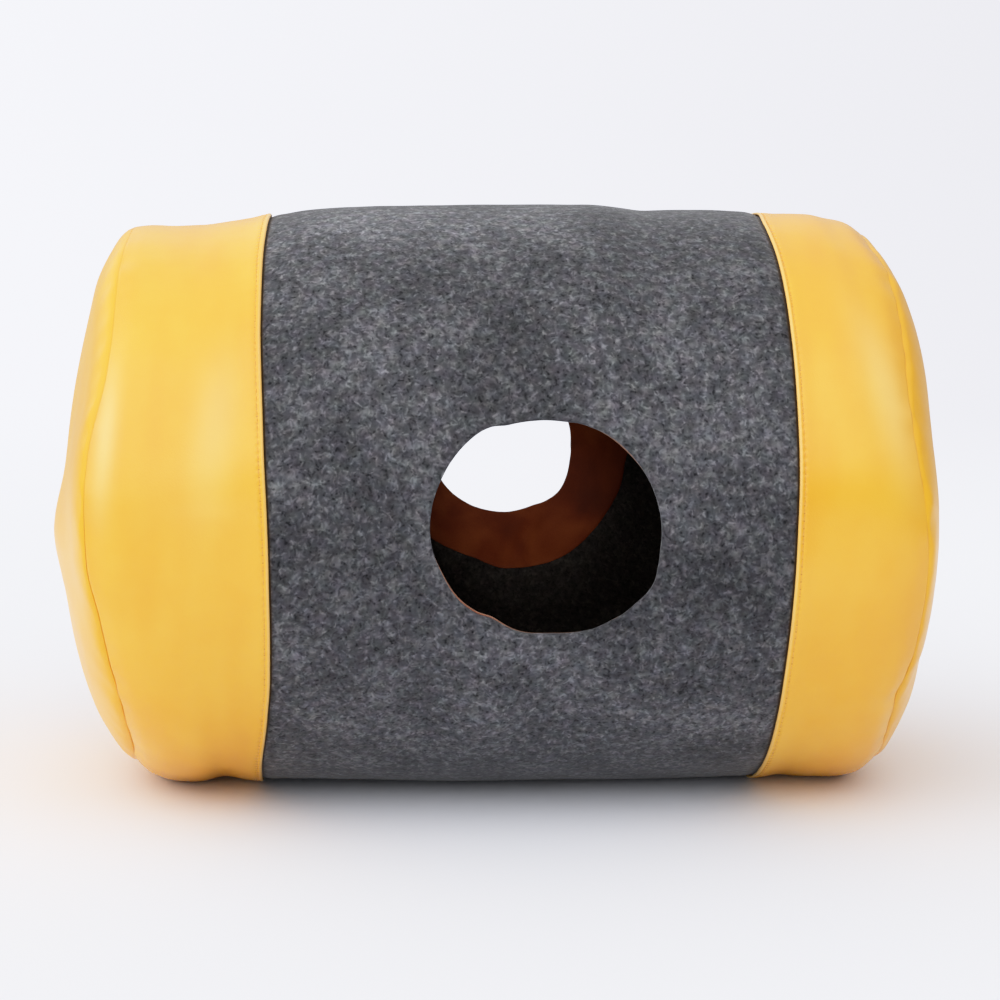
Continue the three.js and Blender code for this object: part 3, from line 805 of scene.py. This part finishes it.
SEAM_ROUND = {
    -1: table("s round", [(-300, 0.3), (-150, 0.55), (-95, 0.55), (-55, 0.45), (5, 0.22), (40, 0.04), (190, 0.03), (330, 0.3), (900, 0.3)]),
    1: table("s round", [(-300, 0.3), (-150, 0.6), (-100, 0.6), (-78, 0.12), (-50, 0.04), (190, 0.03), (330, 0.3), (900, 0.3)]),
}


def seam_round(side, th):
    """How round the two leathers turn in at an end's seam, in mm."""
    return Smooth(SEAM_ROUND[side], "s", "round")(np.radians(turned(th)) * R_NOM)


def half_gap(turn):
    """Half the gap between the two leathers, which is pulled tight where they hardly turn in."""
    return 0.012 + 0.075 * np.minimum(turn, 0.5)


def band_piece(side, name):
    turns = 512
    th = np.radians(-90) + 2 * math.pi * np.arange(turns) / turns
    d = turned(th)
    x0 = LEFT_BAND(d) if side < 0 else RIGHT_BAND(d)
    x1 = LEFT_RIM(d) if side < 0 else RIGHT_RIM(d)
    wide = abs(x1 - x0)
    rows, uvs, edges = [], [], []

    def add(p, a):
        rows.append(p)
        uvs.append(np.stack([x0 + side * a, th * R_NOM], -1))
        edges.append(a + 0 * th)

    for a, off in zip(HEM["a"], HEM["off"]):
        add(band_point(side, a, th, lifted(th, side, off)), a)
    fractions = np.concatenate([np.linspace(0, 0.80, 23)[1:], [0.84, 0.875, 0.905, 0.93, 0.95, 0.965, 0.977]])
    start = HEM["a"][-1]
    gather = rim_pucker(side, th)
    for f in fractions:
        a = start + (wide - start) * f
        left = wide - a
        off = LEATHER_UP + gather * 0.30 * np.exp(-((left / 9.0) ** 2))
        off = np.where(level(np.full(turns, 1.5 * side), th)[:, 2] < 4, LEATHER_UP, off)
        add(band_point(side, a, th, off), a)
    turn = seam_round(side, th)
    gap = half_gap(turn)
    for deg in (0, 25, 50, 72, 90):
        c, k = math.cos(math.radians(deg)), math.sin(math.radians(deg))
        add(at_rim(side, th, -gap - turn * (1 - k), LEATHER_UP - turn * (1 - c) + gather * 0.16), wide - 0.05)
    for along, off in (
        (-0.05, 0.2), (-0.05, -3.0), (-0.05, -ALLOWANCE), (-0.05 - LEATHER_T, -ALLOWANCE), (-0.05 - LEATHER_T, -3.0),
        (-0.05 - LEATHER_T, -1.1),
    ):
        add(at_rim(side, th, along, off), wide + along)
    outer = len(rows) - 3
    for f in (0.95, 0.88, 0.78, 0.6, 0.4, 0.2, 0.0):
        a = start + (wide - start) * f
        add(band_point(side, a, th, GAP), a)
    for a in (9.0, 3.3, 0.5, 0.05):
        add(band_point(side, a, th, GAP if a > 0.2 else GAP + 0.35), a)
    number = np.arange(len(rows) * turns).reshape(len(rows), turns)
    faces = loops(number, True)
    slots = [np.full(turns, 0 if i < outer or i >= len(rows) - 3 else 1) for i in range(len(faces))]
    uvs = np.concatenate(uvs)
    # the pale mark: painted highlight streaks along ridges
    pale = np.minimum(folds(RIDGE_HIGHLIGHTS, uvs[:, 0], uvs[:, 1] / R_NOM), 1)
    return build(
        name,
        np.concatenate(rows),
        np.concatenate(faces),
        uvs,
        np.concatenate(slots),
        [LEATHER_BAND, BACKING],
        {"edge": np.concatenate(edges), "pale": pale},
    )


def stitches(side, name):
    """The topstitch: one short bent thread a stitch, its ends drawn down into the leather."""
    count = int(round(PERIOD / STITCH))
    step = 2 * math.pi / count
    along = np.array([0.0, 0.10, 0.26, 0.5, 0.74, 0.90, 1.0])
    drop = np.array([-0.36, -0.10, 0.03, 0.06, 0.03, -0.10, -0.36])
    thick = np.array([0.12, 0.18, 0.21, 0.22, 0.21, 0.18, 0.12])
    first = np.radians(-90) + step * np.arange(count)
    rng = np.random.default_rng(31 + side)
    th = first[:, None] + step * (0.07 + 0.86 * along[None, :])
    a = STITCH_IN + rng.normal(0, 0.07, (count, 1)) + np.linspace(-0.10, 0.10, len(along))[None, :]
    off = HEM_OFF(STITCH_IN) + 0.03 + drop[None, :]
    off = lifted(th, side, off)
    low = level(np.full(th.shape, 1.0 * side), th)[..., 2] < LEATHER_UP + 4
    off = np.where(low, LEATHER_UP - 0.30, off)
    mid = band_point(side, a, th, off)
    up = unit(band_point(side, a, th, off + 0.5) - mid)
    way = unit(np.gradient(mid, axis=1))
    across = unit(np.cross(way, up))
    sides = 6
    angle = 2 * math.pi * np.arange(sides) / sides
    ring = (
        mid[:, :, None, :]
        + thick[None, :, None, None]
        * (across[:, :, None, :] * np.cos(angle)[None, None, :, None] + up[:, :, None, :] * np.sin(angle)[None, None, :, None])
    )
    rings = len(along)
    per = rings * sides
    points = ring.reshape(-1, 3)
    caps = np.concatenate([mid[:, :1] - way[:, :1] * 0.1, mid[:, -1:] + way[:, -1:] * 0.1], 1).reshape(-1, 3)
    one = []
    for r in range(rings - 1):
        for s in range(sides):
            s2 = (s + 1) % sides
            one.append([r * sides + s, r * sides + s2, (r + 1) * sides + s2, (r + 1) * sides + s])
    one = np.array(one)
    faces = (one[None] + (np.arange(count) * per)[:, None, None]).reshape(-1, 4)
    tips = []
    for s in range(sides):
        s2 = (s + 1) % sides
        tips.append([s2, s, -1, -1])
        tips.append([(rings - 1) * sides + s, (rings - 1) * sides + s2, -2, -2])
    tips = np.array(tips)
    all_tips = np.where(
        tips[None] == -1,
        (count * per + 2 * np.arange(count))[:, None, None],
        np.where(tips[None] == -2, (count * per + 2 * np.arange(count) + 1)[:, None, None], tips[None] + (np.arange(count) * per)[:, None, None]),
    ).reshape(-1, 4)
    points = np.concatenate([points, caps])
    faces = np.concatenate([faces, all_tips])
    uv = np.zeros((len(points), 2))
    return build(name, points, faces, uv, np.zeros(len(faces)), [THREAD])


# -------------------------------------------------------------------------------------------------------- the end discs
DISC_SLACK = Waves(41, 60, 150, 18, 0.55)


def dome(side, r, th):
    apex_x, apex_z, roundness = ENDS[side]
    p = at_rim(side, th, 0.05, 1.75)
    full = roundness * np.sqrt(np.maximum(1 - r * r, 0)) + (1 - roundness) * (1 - r * r)
    x = p[..., 0] + (apex_x - CENTRE[0] - p[..., 0]) * full
    y = (p[..., 1] + CENTRE[1]) * r - CENTRE[1]
    z = apex_z + (p[..., 2] - apex_z) * r
    stay = np.minimum((1 - r) * 6, 1)
    for s, by, bz, wide, tall, out in BULGES:
        if s == side:
            x = x + side * out * stay * np.exp(-(((y + CENTRE[1] - by) / wide) ** 2) - ((z - bz) / tall) ** 2)
    q = np.stack(np.broadcast_arrays(side * 400.0, y, z), -1)
    x = x + side * stay * DISC_SLACK(q)
    x = x + side * rim_pucker(-side, th) * 0.45 * np.exp(-(((1 - r) / 0.05) ** 2)) * np.minimum((1 - r) * 60, 1)
    return np.stack([x, y, z], -1)


def disc_piece(side, name):
    turns = 384
    th = np.radians(-90) + 2 * math.pi * np.arange(turns) / turns

    def skin(r, off):
        r = np.full(turns, r)
        e = 1e-3
        a = dome(side, r + e, th) - dome(side, r - e, th)
        b = dome(side, r, th + e) - dome(side, r, th - e)
        n = unit(np.cross(a, b))
        n = n * np.sign(n[:, :1] * side)
        return dome(side, r, th) - n * off

    rows, uvs = [], []

    def add(p):
        rows.append(p)
        uvs.append(np.stack([p[:, 1], p[:, 2]], -1))

    radii = np.concatenate([np.linspace(0.03, 0.80, 26), np.linspace(0.82, 0.94, 7), [0.955, 0.968, 0.978, 0.986, 0.992]])
    for r in radii:
        add(skin(r, 0.0))
    turn = seam_round(side, th)
    gather = rim_pucker(side, th)
    gap = half_gap(turn)
    for deg in (0, 25, 50, 72, 90):
        c, k = math.cos(math.radians(deg)), math.sin(math.radians(deg))
        add(at_rim(side, th, gap + turn * (1 - k), LEATHER_UP - 0.4 * turn - turn * (1 - c) + gather * 0.16))
    for along, off in (
        (0.05, 0.1), (0.05, -3.0), (0.05, -ALLOWANCE), (0.05 + LEATHER_T, -ALLOWANCE), (0.05 + LEATHER_T, -4.0),
        (0.05 + LEATHER_T, -1.9),
    ):
        add(at_rim(side, th, along, off))
    outer = len(rows) - 3
    for r in (0.97, 0.93, 0.86, 0.75, 0.6, 0.42, 0.22, 0.08):
        add(skin(r, LEATHER_T))
    number = np.arange(len(rows) * turns).reshape(len(rows), turns)
    faces = loops(number, False)
    slots = [np.full(turns, 0 if i < outer else 1) for i in range(len(faces))]
    base = len(rows) * turns
    apex = dome(side, np.array([0.0]), np.array([0.0]))
    under = apex - np.array([[side * LEATHER_T, 0, 0]])
    a, b = number[0], number[-1]
    faces.append(np.stack([np.roll(a, -1), a, np.full(turns, base), np.full(turns, base)], 1))
    faces.append(np.stack([b, np.roll(b, -1), np.full(turns, base + 1), np.full(turns, base + 1)], 1))
    slots += [np.zeros(turns), np.ones(turns)]
    uvs.append(np.array([[apex[0, 1], apex[0, 2]]] * 2))
    return build(
        name,
        np.concatenate([*rows, apex, under]),
        np.concatenate(faces),
        np.concatenate(uvs),
        np.concatenate(slots),
        [LEATHER, BACKING],
    )


# ---------------------------------------------------------------------------------------------------------- the facings
def facing_piece(o, name, seed):
    turns = 200
    angle = 2 * math.pi * np.arange(turns) / turns
    d = np.degrees(angle)
    front = o is FRONT
    inside = opening_ring(o, angle, -(FRONT_REACH if front else REAR_REACH)(d) + ragged(angle, seed, 0.07))
    centre = np.array([o["x"], o["t"]])
    wide = o["out"] + (0 if front else REAR_RIM(d)) + ragged(angle, seed + 10, 0.12)
    outside = centre + wide[:, None] * np.stack([np.cos(angle), np.sin(angle)], -1)
    top, under = -FELT_T - GAP, -FELT_T - GAP - FACING_T
    rows, uvs, edges = [], [], []
    # a long soft crease runs across the visible part of the rear facing
    crease = table("x t turn length width height", [(16, 73, 117, 22, 5, 3.4), (44, 34, 110, 16, 9, 1.8)])

    def add(share, grow, off):
        way = unit(inside - centre)
        p = inside + (outside - inside) * share + way * grow
        t = p[:, 1] / R_NOM
        up = np.full(turns, off)
        if not front:
            for cx, ct, turn, length, width, height in zip(*crease.values()):
                c, k = math.cos(math.radians(turn)), math.sin(math.radians(turn))
                x, y = p[:, 0] - o["x"] - cx, p[:, 1] - o["t"] - ct
                up = up - abs(height) * 0.5 - 0.5 * height * np.exp(-(((x * c + y * k) / length) ** 2) - ((-x * k + y * c) / width) ** 2)
        rows.append(wall(u_at(p[:, 0], t), t, up))
        uvs.append(p)
        edges.append(np.linalg.norm(p - inside, axis=1))

    for share, grow, off in (
        (0.0, 0.35, top), (0.04, 0, top), (0.15, 0, top), (0.3, 0, top), (0.5, 0, top), (0.7, 0, top), (0.88, 0, top),
        (1.0, -0.3, top), (1.0, 0.0, top - 0.3), (1.0, 0.0, under + 0.3), (1.0, -0.3, under), (0.94, 0, under),
        (0.85, 0, under), (0.74, 0, under), (0.62, 0, under), (0.5, 0, under), (0.38, 0, under), (0.27, 0, under),
        (0.17, 0, under), (0.09, 0, under), (0.03, 0, under), (0.0, 0.35, under), (0.0, 0.0, under + 0.3),
        (0.0, 0.0, top - 0.3),
    ):
        add(share, grow, off)
    number = np.arange(len(rows) * turns).reshape(len(rows), turns)
    faces = loops(number, True)
    return build(
        name,
        np.concatenate(rows),
        np.concatenate(faces),
        np.concatenate(uvs),
        np.zeros(len(faces) * turns),
        [FACING],
        {"edge": np.concatenate(edges)},
    )


felt = felt_piece()
left_band, right_band = band_piece(-1, "left_band_leather"), band_piece(1, "right_band_leather")
left_thread, right_thread = stitches(-1, "left_band_topstitch"), stitches(1, "right_band_topstitch")
left_end, right_end = disc_piece(-1, "left_end_disc"), disc_piece(1, "right_end_disc")
front_facing, rear_facing = facing_piece(FRONT, "front_facing_ring", 7), facing_piece(REAR, "rear_facing_ring", 8)

for piece, node, finish in (
    (felt, "felt_body", "felt"),
    (left_band, "left_band", "leather"),
    (right_band, "right_band", "leather"),
    (left_end, "left_end", "leather"),
    (right_end, "right_end", "leather"),
    (front_facing, "front_facing", "facing"),
    (rear_facing, "rear_facing", "facing"),
):
    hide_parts(node)

# ----------------------------------------------------------------------------------------------------- floor and lights
# backdrop colours as the camera sees them: painted paler on the left and darker on the right as a painted falloff of
# light, and a painted shade for the floor at the lower right
GLOW_LEFT, GLOW_RIGHT, FLOOR_PAINTED_SHADE = (1.200, 1.215, 1.336, 1.0), (1.027, 1.027, 1.119, 1.0), (0.91, 0.91, 0.99, 1.0)
# How strongly the studio lights the piece from each side, by the sine of the height over the horizon: round from behind
# (0 degrees) by the left (60 and 120) to the front (180) and by the right back again. The first row is the far floor.
STUDIO = table(
    "sine deg0 deg60 deg120 deg180 deg240 deg300",
    [
        (-0.1, 0.72, 0.62, 1.01, 0.69, 0.32, 0.34),
        (0.0, 0.60, 0.55, 0.94, 0.12, 0.0, 0.36),
        (0.259, 0.85, 1.42, 1.84, 0.78, 0.44, 0.28),
        (0.574, 1.13, 1.80, 2.63, 2.00, 1.28, 0.57),
        (0.866, 0.95, 1.37, 2.21, 2.09, 1.47, 0.82),
    ],
)
STUDIO_TOP = 1.3
STAND = (0.12, -1.79, 0.44)


def round_about(t, xyz, row):
    """The studio's strength by bearing, for one row of the table."""
    bearing = t.maths("ARCTAN2", xyz[0], xyz[1])
    ramp = t.node("ShaderNodeValToRGB", {0: t.maths("ADD", t.maths("MULTIPLY", bearing, -0.5 / math.pi), 0.5)})
    stops = ramp.color_ramp
    stops.interpolation = "EASE"
    # the ramp starts and ends in front
    order = ("deg180", "deg240", "deg300", "deg0", "deg60", "deg120", "deg180")
    while len(stops.elements) < len(order):
        stops.elements.new(0.5)
    for i, key in enumerate(order):
        v = float(STUDIO[key][row])
        stops.elements[i].position = i / 6
        stops.elements[i].color = (v, v, v, 1.0)
    ramp.label = "row%d" % row
    return ramp.outputs[0]


def glow(t, way, floor=False):
    """The studio's far brightness in a direction of length 1: its colour as the camera sees it, with a painted falloff
    of light from left to right and painted shade on the floor at the lower right, and its strength as a light, which is
    uneven."""
    xyz = t.node("ShaderNodeSeparateXYZ", {0: way}).outputs
    colour = t.mix(t.span(xyz[0], -0.13, 0.25, kind="LINEAR"), GLOW_LEFT, GLOW_RIGHT)
    if floor:
        # painted shade on the floor at the lower right
        low = t.maths("MULTIPLY", t.span(xyz[0], 0.08, 0.26), t.span(xyz[2], -0.12, -0.20))
        colour = t.mix(low, colour, FLOOR_PAINTED_SHADE)
        light = round_about(t, xyz, 0)
    else:
        light = round_about(t, xyz, 1)
        for row in (2, 3, 4):
            a, b = STUDIO["sine"][row - 1], STUDIO["sine"][row]
            light = t.mix(t.span(xyz[2], float(a), float(b)), light, round_about(t, xyz, row))
        top = t.mix(t.span(xyz[2], 0.866, 1.0), light, (STUDIO_TOP, STUDIO_TOP, STUDIO_TOP, 1.0))
        top.node.label = "top"
        light = top
    looked_at = t.node("ShaderNodeLightPath").outputs["Is Camera Ray"]
    return t.mix(looked_at, light, colour)


def floor_material():
    t = Tree("floor_pale")
    place = t.node("ShaderNodeTexCoord").outputs["Object"]
    # far off, the floor glows instead of taking light: as a light with the studio's strength, and to the camera in the
    # backdrop's painted colours
    far = t.span(t.vector("LENGTH", place), 0.8, 2.4)
    near = t.node("ShaderNodeBsdfDiffuse", {"Color": (0.830, 0.844, 0.910, 1.0)})
    seen_from = t.vector("NORMALIZE", t.vector("SUBTRACT", place, STAND))
    light = t.node("ShaderNodeEmission", {"Color": glow(t, seen_from, floor=True), "Strength": 1.0})
    both = t.node("ShaderNodeMixShader", {0: far, 1: near.outputs[0], 2: light.outputs[0]})
    t.node("ShaderNodeOutputMaterial", {0: both.outputs[0]})
    return t.m


me = bpy.data.meshes.new("floor")
ring = [(60 * math.cos(a), 60 * math.sin(a), 0.0) for a in np.linspace(0, 2 * math.pi, 65)[:-1]]
me.from_pydata(ring, [], [list(range(64))])
me.materials.append(floor_material())
floor = bpy.data.objects.new("floor", me)
scene.collection.objects.link(floor)

world = bpy.data.worlds.new("studio")
scene.world = world
world.use_nodes = True
w = Tree.__new__(Tree)
w.t = world.node_tree
sky = w.t.nodes["Background"]
w.t.links.new(glow(w, w.node("ShaderNodeTexCoord").outputs["Generated"]), sky.inputs[0])
sky.inputs[1].default_value = 1.0


# A white card stands low in front on the left and shows in the left band.
card = bpy.data.objects.new("front_card", bpy.data.lights.new("front_card", "AREA"))
card.data.shape, card.data.size, card.data.size_y, card.data.energy = "RECTANGLE", 0.5, 0.36, 1.7
card.location = (-0.44, -2.7, 0.27)
card.rotation_mode = "QUATERNION"
card.rotation_quaternion = (Vector((-0.2, -0.19, 0.19)) - card.location).to_track_quat("-Z", "Y")
scene.collection.objects.link(card)

# A narrow lamp shines in through the front opening on to the rear facing.
lamp = bpy.data.objects.new("inner_lamp", bpy.data.lights.new("inner_lamp", "SPOT"))
lamp.data.energy, lamp.data.spot_size, lamp.data.spot_blend, lamp.data.shadow_soft_size = 29.0, math.radians(3.9), 0.8, 0.02
lamp.location = (-0.10, -2.2, 0.43)
lamp.rotation_mode = "QUATERNION"
lamp.rotation_quaternion = (Vector((0.010, -0.19, 0.195)) - lamp.location).to_track_quat("-Z", "Y")
scene.collection.objects.link(lamp)

scene.view_settings.view_transform = "Standard"
scene.view_settings.look = "None"
scene.view_settings.exposure = 0.0
scene.view_settings.gamma = 1.0
# Highlights roll off softly, as on film. The curve runs up to twice the white level.
scene.view_settings.use_curve_mapping = True
curves = scene.view_settings.curve_mapping
curves.white_level = (2.0, 2.0, 2.0)
tone = curves.curves[3]
for i, x in enumerate((0.0, 0.15, 0.30, 0.45, 0.60, 0.75, 0.90, 1.05, 1.20, 1.35, 1.50, 1.70, 2.0)):
    y = min(x / (1 + (0.9 * x) ** 3) ** (1 / 3), 1.0)
    if i < 2:
        tone.points[i].location = (x / 2, y)
    else:
        tone.points.new(x / 2, y)
curves.update()
scene.cycles.caustics_reflective = False
scene.cycles.caustics_refractive = False
scene.cycles.max_bounces = 6
scene.cycles.diffuse_bounces = 4
scene.cycles.glossy_bounces = 2
scene.cycles.transmission_bounces = 0
